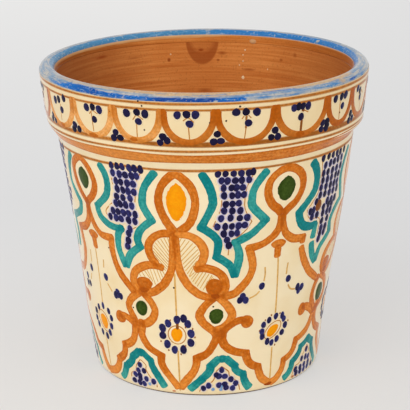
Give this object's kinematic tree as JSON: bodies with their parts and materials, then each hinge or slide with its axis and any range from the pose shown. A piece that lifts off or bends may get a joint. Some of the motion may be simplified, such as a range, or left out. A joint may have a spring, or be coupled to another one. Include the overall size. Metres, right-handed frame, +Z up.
{
  "type": "garden pot",
  "caption": "Conical terracotta garden pot with a bevelled shoulder, a heavy flared collar and a rounded lip, glazed outside, bare inside, with a drain hole in the floor.",
  "frame": {"origin": "centre of the foot, on the surface that the pot stands on", "axes": "+Z up along the pot's axis; -Y is the side that the picture shows, with +X to its right"},
  "size_m": [0.3006, 0.3006, 0.288],
  "materials": {
    "bare_terracotta": "unglazed fired clay, matt, with throwing rings",
    "cream_glaze": "opaque cream tin glaze, glossy",
    "ochre_glaze": "brushed ochre colour under clear glaze",
    "blue_glaze": "worn mottled blue glaze",
    "brown_line": "brown banding colour, slightly raised"
  },
  "bodies": {
    "root": {"floor_slab": "bare_terracotta", "thrown_wall": "bare_terracotta", "rim_collar": "bare_terracotta", "wall_glaze": "cream_glaze", "shoulder_glaze": "ochre_glaze", "collar_glaze": "cream_glaze", "lip_glaze": "blue_glaze", "wall_top_line": "brown_line", "collar_edge_line": "brown_line", "collar_base_band": "brown_line", "collar_top_line": "brown_line", "lip_line": "brown_line"}
  },
  "joints": []
}
